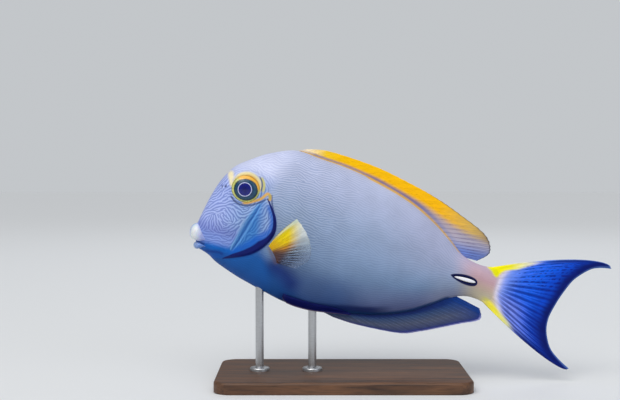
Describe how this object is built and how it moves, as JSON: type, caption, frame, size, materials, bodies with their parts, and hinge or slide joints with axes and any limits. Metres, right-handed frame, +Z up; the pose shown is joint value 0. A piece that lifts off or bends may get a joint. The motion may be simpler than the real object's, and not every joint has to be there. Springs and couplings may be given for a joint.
{
  "type": "eyestripe surgeonfish model on a display stand",
  "caption": "Life-size still model of an eyestripe surgeonfish, nose up, held over a flat base by short upright rods.",
  "frame": {"origin": "middle of the underside of the stand's base, on the surface that it rests on", "axes": "+Z up; the fish heads towards -X with its nose pitched up, its left side towards -Y"},
  "size_m": [0.2533, 0.084, 0.1401],
  "materials": {
    "face_skin": "satin painted skin, lavender with fine blue maze lines",
    "body_skin": "satin painted skin, blue-grey with fine wavy lines",
    "eye": "gloss, dark pupil in a dark teal iris",
    "lip": "satin cream",
    "dorsal_fin": "satin yellow-orange membrane with rays",
    "anal_fin": "satin violet-blue membrane with rays",
    "caudal_fin": "satin blue membrane with rays",
    "pectoral_fin": "satin yellow membrane with dark rays",
    "pelvic_fin": "satin dark navy",
    "spine": "satin white",
    "base_wood": "oiled dark walnut",
    "rod_metal": "brushed"
  },
  "bodies": {
    "root": {"head": "face_skin", "trunk": "body_skin", "tail_stalk": "body_skin", "gill_cover_left": "face_skin", "gill_cover_right": "face_skin", "eye_left": "eye", "eye_right": "eye", "upper_lip": "lip", "lower_lip": "lip", "dorsal_fin": "dorsal_fin", "anal_fin": "anal_fin", "caudal_fin_upper": "caudal_fin", "caudal_fin_lower": "caudal_fin", "pectoral_fin_left": "pectoral_fin", "pectoral_fin_right": "pectoral_fin", "pelvic_fin_left": "pelvic_fin", "pelvic_fin_right": "pelvic_fin", "tail_spine_left": "spine", "tail_spine_right": "spine", "stand_base": "base_wood", "stand_rod_front": "rod_metal", "stand_rod_rear": "rod_metal"}
  },
  "joints": []
}
